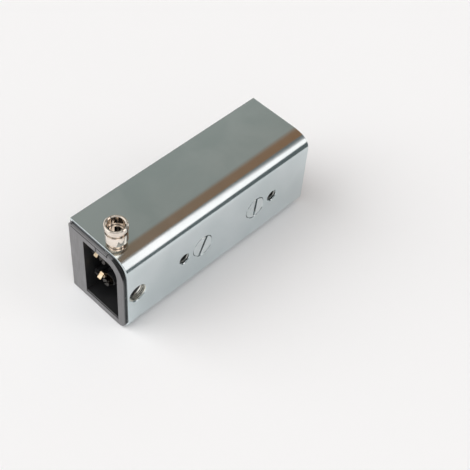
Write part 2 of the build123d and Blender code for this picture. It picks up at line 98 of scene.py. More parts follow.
class Draft:
    """A node tree being drawn, with short calls for its nodes and links."""

    def __init__(self, tree: bpy.types.NodeTree) -> None:
        """Keeps the tree that the nodes go into."""
        self.tree = tree

    def node(self, kind: str, inputs: dict | None = None, **options: object) -> bpy.types.Node:
        """Adds a node.

        Args:
            kind: the node's type name.
            inputs: values or output sockets for its inputs, by name or index.
            options: properties of the node itself.

        Returns:
            The new node.
        """
        made = self.tree.nodes.new(kind)
        for key, value in options.items():
            setattr(made, key, value)
        for key, value in (inputs or {}).items():
            if isinstance(value, bpy.types.NodeSocket):
                self.tree.links.new(value, made.inputs[key])
            else:
                made.inputs[key].default_value = value
        return made

    def math(
        self, operation: str, first: object, second: object = 0.0, clamp: bool = False
    ) -> bpy.types.NodeSocket:
        """Adds a math node.

        Args:
            operation: its operation name.
            first: first value or socket.
            second: second value or socket.
            clamp: whether the result is held between 0 and 1.

        Returns:
            The result's socket.
        """
        made = self.node("ShaderNodeMath", {0: first, 1: second}, operation=operation, use_clamp=clamp)
        return made.outputs[0]

    def product(self, first: object, *others: object) -> bpy.types.NodeSocket:
        """Multiplies masks with each other.

        Args:
            first: the first mask.
            others: the masks it is multiplied by.

        Returns:
            The product's socket.
        """
        for other in others:
            first = self.math("MULTIPLY", first, other)
        return first

    def blend(self, factor: object, first: object, second: object) -> bpy.types.NodeSocket:
        """Mixes two colours.

        Args:
            factor: share of the second colour.
            first: first colour or socket.
            second: second colour or socket.

        Returns:
            The mixed colour's socket.
        """
        made = self.node("ShaderNodeMix", data_type="RGBA")
        for index, value in ((0, factor), (6, first), (7, second)):
            if isinstance(value, bpy.types.NodeSocket):
                self.tree.links.new(value, made.inputs[index])
            elif index == 0:
                made.inputs[index].default_value = value
            else:
                made.inputs[index].default_value = (*value, 1.0)
        return made.outputs[2]

    def span(
        self, value: object, low: float, high: float, to_low: float, to_high: float
    ) -> bpy.types.NodeSocket:
        """Maps a value from one span to another with soft ends.

        Args:
            value: the socket to map.
            low: start of the span.
            high: end of the span.
            to_low: result at the start.
            to_high: result at the end.

        Returns:
            The mapped value's socket.
        """
        inputs = {"Value": value, "From Min": low, "From Max": high, "To Min": to_low, "To Max": to_high}
        return self.node("ShaderNodeMapRange", inputs, interpolation_type="SMOOTHSTEP").outputs["Result"]

    def before(self, value: object, edge: float, fade: float) -> bpy.types.NodeSocket:
        """Masks what lies before an edge, and fades out over a length past it."""
        return self.span(value, edge, edge + fade, 1.0, 0.0)

    def past(self, value: object, edge: float, fade: float) -> bpy.types.NodeSocket:
        """Masks what lies past an edge, and fades in over a length past it."""
        return self.span(value, edge, edge + fade, 0.0, 1.0)


class Patterns:
    """Node groups that several finishes share, each built once."""

    def __init__(self) -> None:
        """Builds the groups."""
        self.grain = self._grain()
        self.mottle = self._mottle()
        self.turned = self._turned()

    @staticmethod
    def _group(
        name: str, inputs: dict[str, str], outputs: dict[str, str]
    ) -> tuple[Draft, dict, bpy.types.Node]:
        """Starts a node group.

        Args:
            name: the group's name.
            inputs: socket types of its inputs, by name.
            outputs: socket types of its outputs, by name.

        Returns:
            Its draft, its input sockets by name, and its output node.
        """
        tree = bpy.data.node_groups.new(name, "ShaderNodeTree")
        for label, kind in inputs.items():
            tree.interface.new_socket(label, in_out="INPUT", socket_type=kind)
        for label, kind in outputs.items():
            tree.interface.new_socket(label, in_out="OUTPUT", socket_type=kind)
        draft = Draft(tree)
        entry = draft.node("NodeGroupInput")
        leave = draft.node("NodeGroupOutput")
        return draft, {label: entry.outputs[label] for label in inputs}, leave

    def _grain(self) -> bpy.types.NodeTree:
        """Draws fine streaks that run one way, as on rolled, drawn or ground metal.

        Returns:
            The group.
        """
        sockets = {"Vector": "NodeSocketVector", "Stretch": "NodeSocketVector", "Scale": "NodeSocketFloat"}
        draft, given, leave = self._group("streak_grain", sockets, {"Height": "NodeSocketFloat"})
        factors = {0: given["Vector"], 1: given["Stretch"]}
        pulled = draft.node("ShaderNodeVectorMath", factors, operation="MULTIPLY")
        noise = draft.node(
            "ShaderNodeTexNoise",
            {"Vector": pulled.outputs[0], "Scale": given["Scale"], "Detail": 5.0, "Roughness": 0.6},
        )
        draft.tree.links.new(noise.outputs["Fac"], leave.inputs["Height"])
        return draft.tree

    def _mottle(self) -> bpy.types.NodeTree:
        """Draws broad soft clouds, as in plating, handling marks and cast skins.

        Returns:
            The group.
        """
        sockets = {"Vector": "NodeSocketVector", "Scale": "NodeSocketFloat"}
        draft, given, leave = self._group("broad_mottle", sockets, {"Mask": "NodeSocketFloat"})
        noise = draft.node(
            "ShaderNodeTexNoise",
            {"Vector": given["Vector"], "Scale": given["Scale"], "Detail": 3.0, "Distortion": 0.4},
        )
        mask = draft.span(noise.outputs["Fac"], 0.3, 0.7, 0.0, 1.0)
        draft.tree.links.new(mask, leave.inputs["Mask"])
        return draft.tree

    def _turned(self) -> bpy.types.NodeTree:
        """Draws rings round an axis, as a lathe leaves them.

        Returns:
            The group.
        """
        sockets = {"Vector": "NodeSocketVector", "Across": "NodeSocketVector", "Scale": "NodeSocketFloat"}
        draft, given, leave = self._group("turned_rings", sockets, {"Height": "NodeSocketFloat"})
        factors = {0: given["Vector"], 1: given["Across"]}
        flat = draft.node("ShaderNodeVectorMath", factors, operation="MULTIPLY")
        radius = draft.node("ShaderNodeVectorMath", {0: flat.outputs[0]}, operation="LENGTH")
        ring = draft.math("MULTIPLY", radius.outputs["Value"], given["Scale"])
        inputs = {"W": ring, "Scale": 1.0, "Detail": 3.0}
        noise = draft.node("ShaderNodeTexNoise", inputs, noise_dimensions="1D")
        draft.tree.links.new(noise.outputs["Fac"], leave.inputs["Height"])
        return draft.tree


@dataclass(frozen=True)
class Finish:
    """What every finish has: a name, two tones of colour and a span of roughness."""

    name: str
    colour: Colour
    tint: Colour
    roughness: float = 0.3
    roughness_spread: float = 0.1
    mottle_scale: float = 90.0
    bump: float = 0.1
    bump_distance: float = 0.02 * MM
    edge_radius: float = 0.12 * MM
    # Painted shade in crevices: how far the occlusion reaches, how dark it gets as a share of the tint, and
    # the span it fades over.
    crevice: float = 0.0
    crevice_dark: float = 0.16
    shade_span: Span = (0.3, 0.85)

    def start(self) -> tuple[bpy.types.Material, Draft, bpy.types.Node, bpy.types.NodeSocket]:
        """Makes the material with its shader.

        Returns:
            The material, its draft, its Principled shader and the object coordinates.
        """
        material = bpy.data.materials.new(self.name)
        material.use_nodes = True
        draft = Draft(material.node_tree)
        shader = material.node_tree.nodes["Principled BSDF"]
        place = draft.node("ShaderNodeTexCoord").outputs["Object"]
        return material, draft, shader, place

    @staticmethod
    def group(draft: Draft, tree: bpy.types.NodeTree, inputs: dict) -> bpy.types.NodeSocket:
        """Places a shared pattern in the material.

        Args:
            draft: the material's draft.
            tree: the pattern's group.
            inputs: values for its sockets.

        Returns:
            Its first output.
        """
        return draft.node("ShaderNodeGroup", inputs, node_tree=tree).outputs[0]

    def relief(self, draft: Draft, shader: bpy.types.Node, height: bpy.types.NodeSocket) -> None:
        """Gives the surface its fine relief over softly broken edges.

        Args:
            draft: the material's draft.
            shader: the shader that takes the normal.
            height: the relief's height.
        """
        edge = draft.node("ShaderNodeBevel", {"Radius": self.edge_radius}, samples=6)
        inputs = {"Strength": self.bump, "Distance": self.bump_distance, "Height": height}
        bump = draft.node("ShaderNodeBump", {**inputs, "Normal": edge.outputs[0]})
        draft.tree.links.new(bump.outputs[0], shader.inputs["Normal"])

    def coat(self, draft: Draft, shader: bpy.types.Node, tone: bpy.types.NodeSocket) -> None:
        """Gives the surface its colour, with painted shade darkening it in crevices.

        Args:
            draft: the material's draft.
            shader: the shader that takes the colour.
            tone: the colour without the painted shade.
        """
        if self.crevice > 0.0:
            # Painted shade: ambient occlusion darkens the colour in crevices, gaps and bores, where shade
            # falls.
            nook = draft.node("ShaderNodeAmbientOcclusion", {"Distance": self.crevice}, samples=8)
            unshaded = draft.span(nook.outputs["AO"], *self.shade_span, 0.0, 1.0)
            crevice_shade = tuple(channel * self.crevice_dark for channel in self.tint)
            tone = draft.blend(unshaded, crevice_shade, tone)
        draft.tree.links.new(tone, shader.inputs["Base Color"])

    def rough(self, draft: Draft, shader: bpy.types.Node, mask: bpy.types.NodeSocket) -> None:
        """Lets the roughness follow a mask.

        Args:
            draft: the material's draft.
            shader: the shader that takes the roughness.
            mask: the mask, from 0 to 1.
        """
        low = self.roughness - self.roughness_spread / 2
        value = draft.math("MULTIPLY_ADD", mask, self.roughness_spread)
        value.node.inputs[2].default_value = low
        draft.tree.links.new(value, shader.inputs["Roughness"])


@dataclass(frozen=True)
class StreakedMetal(Finish):
    """Rolled, drawn or ground metal with a grain that runs one way."""

    grain: Direction = Direction.Y
    along: float = 60.0
    across: float = 2600.0
    anisotropic: float = 0.2
    cloud_share: float = 0.75
    streak_gain: float = 0.6
    # Painted shade: past dark_past in X the metal is darkened to a small share of its tint, fading in over a
    # short length.
    dark_past: float | None = None
    shade_fade: float = 0.6 * MM
    shade_share: float = 0.08

    def material(self, patterns: Patterns) -> bpy.types.Material:
        """Builds the material.

        Args:
            patterns: the shared groups.

        Returns:
            The material.
        """
        material, draft, shader, place = self.start()
        stretch = self.grain.stretch(self.along, self.across)
        streak = self.group(draft, patterns.grain, {"Vector": place, "Stretch": stretch, "Scale": 1.0})
        cloud = self.group(draft, patterns.mottle, {"Vector": place, "Scale": self.mottle_scale})
        clouds = draft.math("MULTIPLY", cloud, self.cloud_share)
        tone = draft.math("ADD", clouds, draft.math("MULTIPLY", streak, 1.0 - self.cloud_share))
        metal = draft.blend(tone, self.colour, self.tint)
        # Painted shade past an X position, as in the shaded terminal chamber.
        if self.dark_past is not None:
            reach = draft.node("ShaderNodeSeparateXYZ", {0: place}).outputs["X"]
            past_shade = draft.past(reach, self.dark_past, self.shade_fade)
            shade_tone = tuple(self.shade_share * channel for channel in self.tint)
            metal = draft.blend(past_shade, metal, shade_tone)
        self.coat(draft, shader, metal)
        shader.inputs["Metallic"].default_value = 1.0
        shader.inputs["Anisotropic"].default_value = self.anisotropic
        self.rough(draft, shader, draft.math("MULTIPLY_ADD", streak, self.streak_gain, clamp=True))
        self.relief(draft, shader, streak)
        return material


@dataclass(frozen=True)
class TurnedMetal(Finish):
    """Metal turned on a lathe, with faint rings round the axis of the piece."""

    axis: Direction = Direction.Z
    centre: Triple = (0.0, 0.0, 0.0)
    rings: float = 9000.0
    rings_along: float = 0.35

    def material(self, patterns: Patterns) -> bpy.types.Material:
        """Builds the material.

        Args:
            patterns: the shared groups.

        Returns:
            The material.
        """
        material, draft, shader, place = self.start()
        away = draft.node("ShaderNodeVectorMath", {0: place, 1: self.centre}, operation="SUBTRACT").outputs[0]
        across = self.axis.stretch(self.rings_along, 1.0)
        ring = self.group(draft, patterns.turned, {"Vector": away, "Across": across, "Scale": self.rings})
        cloud = self.group(draft, patterns.mottle, {"Vector": place, "Scale": self.mottle_scale})
        self.coat(draft, shader, draft.blend(cloud, self.colour, self.tint))
        shader.inputs["Metallic"].default_value = 1.0
        self.rough(draft, shader, cloud)
        self.relief(draft, shader, ring)
        return material


@dataclass(frozen=True)
class MouldedPlastic(Finish):
    """Moulded or cast plastic with a fine skin, and a painted sheen on its face and on the edges that stand
    proud.
    """

    # Painted sheen: a lighter colour on the lit front face, sill, upper edge and side, fading towards the far
    # side in X.
    painted_sheen: Colour | None = None
    sheen_before: float = 0.0
    side_past: float = 0.0
    side_before: float = 0.0
    sheen_far: float = 0.78
    proud_before: float = 0.0
    upper_above: float = 0.0
    sill_below: float = 0.0
    sill_before: float = 0.0
    sheen_fade: float = 0.05 * MM
    sheen_least: float = 0.72
    sheen_streaks: Span = (0.25, 0.75)
    sill_slope: Span = (0.3, 0.6)
    upper_slope: Span = (0.6, 0.9)
    skin_scale: float = 5200.0
    streak_along: float = 120.0
    streak_across: float = 1500.0
    streak_relief: float = 0.5
    specular: float = 0.5

    def material(self, patterns: Patterns) -> bpy.types.Material:
        """Builds the material.

        Args:
            patterns: the shared groups.

        Returns:
            The material.
        """
        material, draft, shader, place = self.start()
        cloud = self.group(draft, patterns.mottle, {"Vector": place, "Scale": self.mottle_scale})
        stretch = Direction.Z.stretch(self.streak_along, self.streak_across)
        streak = self.group(draft, patterns.grain, {"Vector": place, "Stretch": stretch, "Scale": 1.0})
        skin = draft.node("ShaderNodeTexNoise", {"Vector": place, "Scale": self.skin_scale, "Detail": 2.0})
        tone = draft.blend(cloud, self.colour, self.tint)
        # Painted sheen: the lit front of the moulding is lighter than its shaded inside.
        if self.painted_sheen is not None:
            tone = draft.blend(self._sheen_mask(draft, place, streak), tone, self.painted_sheen)
        draft.tree.links.new(tone, shader.inputs["Base Color"])
        shader.inputs["Specular IOR Level"].default_value = self.specular
        self.rough(draft, shader, cloud)
        lines = draft.math("MULTIPLY", streak, self.streak_relief)
        self.relief(draft, shader, draft.math("ADD", skin.outputs["Fac"], lines))
        return material

    def _sheen_mask(
        self, draft: Draft, place: bpy.types.NodeSocket, streak: bpy.types.NodeSocket
    ) -> bpy.types.NodeSocket:
        """Masks the painted sheen: the lit face, the up-facing sill, and the upper edge and side that stand
        proud.

        Args:
            draft: the material's draft.
            place: the object coordinates.
            streak: the moulded streaks that break up the painted sheen.

        Returns:
            The mask's socket.
        """
        parts = draft.node("ShaderNodeSeparateXYZ", {0: place}).outputs
        normal = draft.node("ShaderNodeTexCoord").outputs["Normal"]
        upwards = draft.node("ShaderNodeSeparateXYZ", {0: normal}).outputs["Z"]
        fade = self.sheen_fade
        face = draft.before(parts["Y"], self.sheen_before, fade)
        sill = draft.product(
            draft.before(parts["Z"], self.sill_below, fade),
            draft.before(parts["Y"], self.sill_before, fade),
            draft.span(upwards, *self.sill_slope, 1.0, 0.0),
        )
        upper = draft.product(
            draft.past(parts["Z"], self.upper_above - fade, fade),
            draft.before(parts["Y"], self.proud_before - fade, fade),
            draft.span(upwards, *self.upper_slope, 0.0, 1.0),
        )
        side = draft.product(
            draft.past(parts["X"], self.side_past - fade, fade),
            draft.before(parts["Y"], self.side_before, fade),
        )
        front = face
        for other in (sill, upper, side):
            front = draft.math("MAXIMUM", front, other)
        # The real streaks break up the painted sheen, which also fades towards the far side in X as painted
        # shade.
        streaked_sheen = draft.span(streak, *self.sheen_streaks, self.sheen_least, 1.0)
        spread = draft.span(parts["X"], 0.0, self.side_past, 1.0, self.sheen_far)
        return draft.product(front, streaked_sheen, spread)


@dataclass(frozen=True)
class WoundWire(Finish):
    """Enamelled wire laid in close turns."""

    turn: float = 0.45 * MM
    unevenness: float = 0.3
    enamel: float = 0.4

    def material(self, patterns: Patterns) -> bpy.types.Material:
        """Builds the material.

        Args:
            patterns: the shared groups.

        Returns:
            The material.
        """
        material, draft, shader, place = self.start()
        cloud = self.group(draft, patterns.mottle, {"Vector": place, "Scale": self.mottle_scale})
        scale = math.tau / (WAVE_RATE * self.turn)
        inputs = {"Vector": place, "Scale": scale, "Distortion": self.unevenness}
        wave = draft.node("ShaderNodeTexWave", inputs, bands_direction="X")
        draft.tree.links.new(draft.blend(cloud, self.colour, self.tint), shader.inputs["Base Color"])
        shader.inputs["Metallic"].default_value = 1.0
        shader.inputs["Coat Weight"].default_value = self.enamel
        self.rough(draft, shader, cloud)
        self.relief(draft, shader, wave.outputs["Fac"])
        return material


class Modeller:
    """Steps that the new pieces share."""

    @staticmethod
    def clear() -> None:
        """Leaves edit mode and deselects everything."""
        if bpy.context.object is not None and bpy.context.object.mode != "OBJECT":
            bpy.ops.object.mode_set(mode="OBJECT")
        bpy.ops.object.select_all(action="DESELECT")

    @staticmethod
    def settle(piece: bpy.types.Object) -> None:
        """Writes a piece's place into its mesh.

        Args:
            piece: the piece to settle at the origin.
        """
        bpy.ops.object.select_all(action="DESELECT")
        piece.select_set(True)
        bpy.context.view_layer.objects.active = piece
        bpy.ops.object.transform_apply(location=True, rotation=True, scale=True)


@dataclass
class CutThread:
    """The ridge of a cut thread that lines a bore of the frame."""

    name: str
    centre: Vector
    axis: Direction
    bore_radius: float
    pitch: float
    ridge: float
    length: float
    foot_share: float = 0.92
    crest_share: float = 0.14
    seat_share: float = 0.38
    start_turn: float = math.pi
    steps: int = 56
    smooth_angle: float = 35.0
    slack: float = 0.001

    def build(self) -> bpy.types.Object:
        """Models one ridge section and winds it along the bore.

        Returns:
            The finished thread, with its place in its mesh.
        """
        Modeller.clear()
        bpy.ops.mesh.primitive_circle_add(vertices=4, radius=math.sqrt(0.5), fill_type="NOTHING")
        piece = bpy.context.object
        piece.name = self.name
        self._shape_section(piece)
        turns = max(1, int(self.length / self.pitch - self.foot_share + self.slack))
        screw = piece.modifiers.new("wind", "SCREW")
        screw.axis = "Z"
        screw.angle = math.tau
        screw.screw_offset = self.pitch
        screw.iterations = turns
        screw.steps = self.steps
        screw.render_steps = self.steps
        screw.use_merge_vertices = False
        bpy.ops.object.modifier_apply(modifier=screw.name)
        self._close_ends()
        bpy.ops.object.shade_smooth_by_angle(angle=math.radians(self.smooth_angle))
        turn = Vector((0.0, 0.0, 1.0)).rotation_difference(self.axis.vector()).to_matrix().to_4x4()
        start = self.centre - self.axis.vector() * (turns * self.pitch / 2)
        piece.matrix_world = Matrix.Translation(start) @ turn @ Matrix.Rotation(self.start_turn, 4, "Z")
        Modeller.settle(piece)
        return piece

    def _shape_section(self, piece: bpy.types.Object) -> None:
        """Turns the four-sided start into a blunt ridge that stands on the bore's wall.

        Args:
            piece: the start of the thread, a ring of four corners.
        """
        middle = (0.0, 0.0, 0.0)
        bpy.ops.object.mode_set(mode="EDIT")
        bpy.ops.mesh.select_all(action="SELECT")
        bpy.ops.transform.rotate(value=math.pi / 4, orient_axis="Z", center_override=middle)
        bpy.ops.transform.rotate(value=math.pi / 2, orient_axis="X", center_override=middle)
        foot = (self.ridge, 1.0, self.pitch * self.foot_share)
        bpy.ops.transform.resize(value=foot, center_override=middle)
        bpy.ops.mesh.select_all(action="DESELECT")
        bpy.ops.object.mode_set(mode="OBJECT")
        for vertex in piece.data.vertices:
            vertex.select = vertex.co.x < 0.0
        bpy.ops.object.mode_set(mode="EDIT")
        crest = (1.0, 1.0, self.crest_share / self.foot_share)
        bpy.ops.transform.resize(value=crest, center_override=middle)
        bpy.ops.mesh.select_all(action="SELECT")
        bpy.ops.transform.translate(value=(self.bore_radius - self.ridge * self.seat_share, 0.0, 0.0))
        bpy.ops.object.mode_set(mode="OBJECT")

    @staticmethod
    def _close_ends() -> None:
        """Fills the two open ends of the wound thread and turns its faces outwards."""
        bpy.ops.object.mode_set(mode="EDIT")
        bpy.ops.mesh.select_all(action="DESELECT")
        bpy.ops.mesh.select_mode(type="EDGE")
        bpy.ops.mesh.select_non_manifold()
        bpy.ops.mesh.edge_face_add()
        bpy.ops.mesh.select_all(action="SELECT")
        bpy.ops.mesh.remove_doubles(threshold=MERGE_REACH)
        bpy.ops.mesh.normals_make_consistent(inside=False)
        bpy.ops.object.mode_set(mode="OBJECT")


@dataclass
class SheetChannel:
    """The plated channel with its flush screws and cut threads."""

    nodes: dict[str, bpy.types.Object]
    mounts: dict[str, dict]
    mount_pitch: float = 0.8 * MM
    mount_depth: float = 9.0 * MM
    mount_recess: float = 0.3 * MM
    entry_pitch: float = 0.56 * MM
    ridge_share: float = 0.52
    sheet: StreakedMetal = StreakedMetal(
        "zinc_sheet",
        colour=(0.702, 0.76, 0.778),
        tint=(0.606, 0.678, 0.692),
        roughness=0.16,
        roughness_spread=0.07,
        mottle_scale=55.0,
        bump=0.1,
        # Painted shade in the gaps round the screws, at the holes' edges and in the slit.
        crevice=0.35 * MM,
        crevice_dark=0.1,
    )
    threads: list[bpy.types.Object] = field(default_factory=list)

    def dress(self, patterns: Patterns) -> None:
        """Gives the sheet and the flush screws their finishes.

        Args:
            patterns: the shared groups.
        """
        paint(self.nodes["housing_channel"], self.sheet.material(patterns))
        for name in ("core_screw_front", "core_screw_rear"):
            low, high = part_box(name)
            middle = (low + high) / 2
            finish = TurnedMetal(
                name + "_zinc",
                colour=(0.73, 0.78, 0.79),
                tint=(0.635, 0.70, 0.71),
                roughness=0.24,
                axis=Direction.X,
                centre=(middle.x, middle.y, middle.z),
                bump=0.18,
                # Painted shade in the screw's ring and slot.
                crevice=0.8 * MM,
                crevice_dark=0.08,
            )
            paint(self.nodes[name], finish.material(patterns))

    def cut_threads(self, patterns: Patterns) -> None:
        """Models the threads of the two mounting holes and of the side entry.

        Args:
            patterns: the shared groups.
        """
        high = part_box("housing_channel")[1]
        bush_low, bush_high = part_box("entry_insert_side")
        plated = StreakedMetal(
            "plated_thread",
            colour=(0.86, 0.85, 0.78),
            tint=(0.70, 0.70, 0.62),
            roughness=0.2,
            mottle_scale=700.0,
            grain=Direction.X,
            # Painted shade that darkens the deep turns of the side entry's thread.
            crevice=4.5 * MM,
            crevice_dark=0.25,
        ).material(patterns)
        bare = StreakedMetal(
            "bare_thread",
            colour=(0.72, 0.72, 0.69),
            tint=(0.56, 0.56, 0.53),
            roughness=0.26,
            mottle_scale=700.0,
            grain=Direction.X,
            # Painted shade that turns the deep mounting bores almost black.
            crevice=5.0 * MM,
            crevice_dark=0.03,
        ).material(patterns)
        holes = self.mounts["web_holes"]
        for label, side in (("front", -0.5), ("rear", 0.5)):
            centre = Vector(holes["pos_m"]) + Vector((0.0, side * holes["dims"]["spacing_x_mm"] * MM, 0.0))
            centre.x = high.x - 0.5 * self.mount_depth - self.mount_recess
            radius = holes["dims"]["hole_r_mm"] * MM
            name = f"mount_thread_{label}"
            self._add_thread(name, centre, radius, self.mount_pitch, self.mount_depth, bare)
        length = high.x - bush_low.x
        centre = (bush_low + bush_high) / 2
        centre.x = bush_low.x + length / 2
        radius = self.mounts["side_entry"]["dims"]["r_mm"] * MM
        self._add_thread("entry_thread", centre, radius, self.entry_pitch, length, plated)

    def _add_thread(
        self,
        name: str,
        centre: Vector,
        radius: float,
        pitch: float,
        length: float,
        finish: bpy.types.Material,
    ) -> None:
        """Builds one thread along X and fixes it to the frame.

        Args:
            name: the piece's name.
            centre: middle of the thread.
            radius: radius of the bore.
            pitch: rise per turn.
            length: length of the threaded bore.
            finish: its material.
        """
        ridge = pitch * self.ridge_share
        piece = CutThread(name, centre, Direction.X, radius, pitch, ridge, length).build()
        paint(piece, finish)
        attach(piece, ROOT)
        self.threads.append(piece)


@dataclass
class TerminalEnd:
    """The moulded terminal housing with its brass terminals, bushes and nipple."""

    nodes: dict[str, bpy.types.Object]
    tag_width: float = 1.8 * MM
    # Where the painted sheen on the moulding reaches: depth of the face, the side band and its share, the
    # tongue and the sill.
    sheen_depth: float = 0.03 * MM
    side_band: float = 0.3 * MM
    side_share: float = 0.4
    tongue_drop: float = 0.6 * MM
    sill_rise: float = 3.35 * MM
    sill_depth: float = 0.38 * MM
    # Painted shade: the upper terminal's brass and screws are darker copies, as it lies deeper in the
    # chamber's shade.
    upper_shade_factor: float = 0.72
    plastic: MouldedPlastic = MouldedPlastic(
        "black_moulding",
        colour=(0.012, 0.012, 0.013),
        tint=(0.02, 0.02, 0.021),
        roughness=0.42,
        roughness_spread=0.1,
        mottle_scale=140.0,
        bump=0.25,
        # Colour of the painted sheen on the lit face.
        painted_sheen=(0.192, 0.188, 0.192),
    )
    brass: StreakedMetal = StreakedMetal(
        "bright_brass",
        colour=(0.95, 0.80, 0.60),
        tint=(0.76, 0.56, 0.34),
        roughness=0.22,
        mottle_scale=900.0,
        grain=Direction.Z,
    )
    blackened: StreakedMetal = StreakedMetal(
        "blackened_screw",
        colour=(0.045, 0.035, 0.026),
        tint=(0.022, 0.018, 0.014),
        roughness=0.24,
        mottle_scale=420.0,
        grain=Direction.X,
    )
    bush: StreakedMetal = StreakedMetal(
        "bush_steel", colour=(0.78, 0.77, 0.73), tint=(0.66, 0.66, 0.62), roughness=0.25, grain=Direction.X
    )
    sleeve: MouldedPlastic = MouldedPlastic(
        "lead_sleeve", colour=(0.015, 0.014, 0.014), tint=(0.03, 0.028, 0.027), roughness=0.5
    )

    def dress(self, patterns: Patterns) -> None:
        """Gives every piece of the terminal end its finish.

        Args:
            patterns: the shared groups.
        """
        low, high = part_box("terminal_housing")
        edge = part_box("housing_channel")[0].y
        # Places the painted sheen on the moulding's lit face, sill, upper edge and side.
        moulding = replace(
            self.plastic,
            sheen_before=low.y + self.sheen_depth,
            side_past=high.x - self.side_band,
            side_before=low.y + self.side_share * (edge - low.y),
            proud_before=edge,
            upper_above=high.z - self.tongue_drop,
            sill_below=low.z + self.sill_rise,
            sill_before=low.y + self.sill_depth,
        )
        paint(self.nodes["terminal_housing"], moulding.material(patterns))
        # Painted shade: the upper terminal gets a darker copy of each finish.
        for level, shade_factor in (("upper", self.upper_shade_factor), ("lower", 1.0)):
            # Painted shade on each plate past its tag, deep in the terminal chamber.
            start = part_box(f"terminal_plate_{level}")[0].x + self.tag_width
            brass = self._shaded_copy(self.brass, level, shade_factor)
            paint(self.nodes[f"terminal_plate_{level}"], replace(brass, dark_past=start).material(patterns))
            blackened = self._shaded_copy(self.blackened, level, shade_factor).material(patterns)
            paint(self.nodes[f"terminal_insert_{level}"], blackened)
            paint(self.nodes[f"terminal_screw_{level}"], blackened)
        bush = self.bush.material(patterns)
        for name in ("entry_insert_side", "entry_insert_top"):
            paint(self.nodes[name], bush)
        sleeve = self.sleeve.material(patterns)
        for name in ("coil_lead_upper", "coil_lead_lower"):
            paint(self.nodes[name], sleeve)
        nip_low, nip_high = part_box("cable_nipple")
        middle = (nip_low + nip_high) / 2
        nickel = TurnedMetal(
            "bright_nickel",
            colour=(0.92, 0.845, 0.765),
            tint=(0.74, 0.65, 0.56),
            roughness=0.1,
            roughness_spread=0.06,
            mottle_scale=260.0,
            axis=Direction.Z,
            centre=(middle.x, middle.y, middle.z),
            bump=0.05,
            # Painted shade in the nipple's groove and bore.
            crevice=1.2 * MM,
            crevice_dark=0.08,
        )
        paint(self.nodes["cable_nipple"], nickel.material(patterns))

    @staticmethod
    def _shaded_copy(finish: StreakedMetal, level: str, shade_factor: float) -> StreakedMetal:
        """Makes the finish of one terminal from the shared one, darkened as painted shade.

        Args:
            finish: the finish both terminals share.
            level: which terminal it is for, added to the name.
            shade_factor: what both colours are multiplied by, as painted shade.

        Returns:
            The finish of that terminal.
        """
        colour = tuple(shade_factor * channel for channel in finish.colour)
        tint = tuple(shade_factor * channel for channel in finish.tint)
        return replace(finish, name=f"{finish.name}_{level}", colour=colour, tint=tint)


@dataclass
class MagnetBody:
    """The core, the coil and what closes the channel round them."""

    nodes: dict[str, bpy.types.Object]
    core: StreakedMetal = StreakedMetal(
        "ground_core",
        colour=(0.66, 0.66, 0.65),
        tint=(0.36, 0.355, 0.345),
        roughness=0.34,
        roughness_spread=0.14,
        mottle_scale=60.0,
        cloud_share=0.15,
        bump=0.35,
        grain=Direction.Y,
        along=22.0,
        across=1900.0,
    )
    resin: MouldedPlastic = MouldedPlastic(
        "cast_resin",
        colour=(0.02, 0.02, 0.021),
        tint=(0.035, 0.034, 0.033),
        roughness=0.3,
        skin_scale=300.0,
        bump=0.4,
    )
    cap: MouldedPlastic = MouldedPlastic(
        "cap_moulding", colour=(0.014, 0.014, 0.015), tint=(0.024, 0.024, 0.025), roughness=0.45, bump=0.25
    )
    spool: MouldedPlastic = MouldedPlastic(
        "spool_moulding", colour=(0.70, 0.67, 0.58), tint=(0.62, 0.58, 0.48), roughness=0.45
    )
    wrap: MouldedPlastic = MouldedPlastic(
        "wrap_tape", colour=(0.70, 0.48, 0.10), tint=(0.60, 0.38, 0.07), roughness=0.3
    )
    wire: WoundWire = WoundWire(
        "enamelled_wire", colour=(0.72, 0.34, 0.16), tint=(0.58, 0.24, 0.10), bump=0.8
    )

    def dress(self, patterns: Patterns) -> None:
        """Gives the core, coil, resin and cap their finishes.

        Args:
            patterns: the shared groups.
        """
        pairs = {
            "pole_core": self.core,
            "potting_resin": self.resin,
            "rear_cap": self.cap,
            "coil_bobbin": self.spool,
            "winding_tape": self.wrap,
            "coil_winding": self.wire,
        }
        for name, finish in pairs.items():
            paint(self.nodes[name], finish.material(patterns))


@dataclass(frozen=True)
class MattCard:
    """Matt, faintly clouded paper or card."""

    name: str
    colour: Colour
    cloud_scale: float
    cloud_shade: float = 0.99
    roughness: float = 0.7
    specular: float = 0.2

    def material(self) -> bpy.types.Material:
        """Builds the material.

        Returns:
            The material.
        """
        material = bpy.data.materials.new(self.name)
        material.use_nodes = True
        draft = Draft(material.node_tree)
        shader = material.node_tree.nodes["Principled BSDF"]
        place = draft.node("ShaderNodeTexCoord").outputs["Object"]
        inputs = {"Vector": place, "Scale": self.cloud_scale, "Detail": 2.0}
        noise = draft.node("ShaderNodeTexNoise", inputs)
        shade = tuple(self.cloud_shade * channel for channel in self.colour)
        tone = draft.blend(noise.outputs["Fac"], self.colour, shade)
        draft.tree.links.new(tone, shader.inputs["Base Color"])
        shader.inputs["Roughness"].default_value = self.roughness
        shader.inputs["Specular IOR Level"].default_value = self.specular
        return material


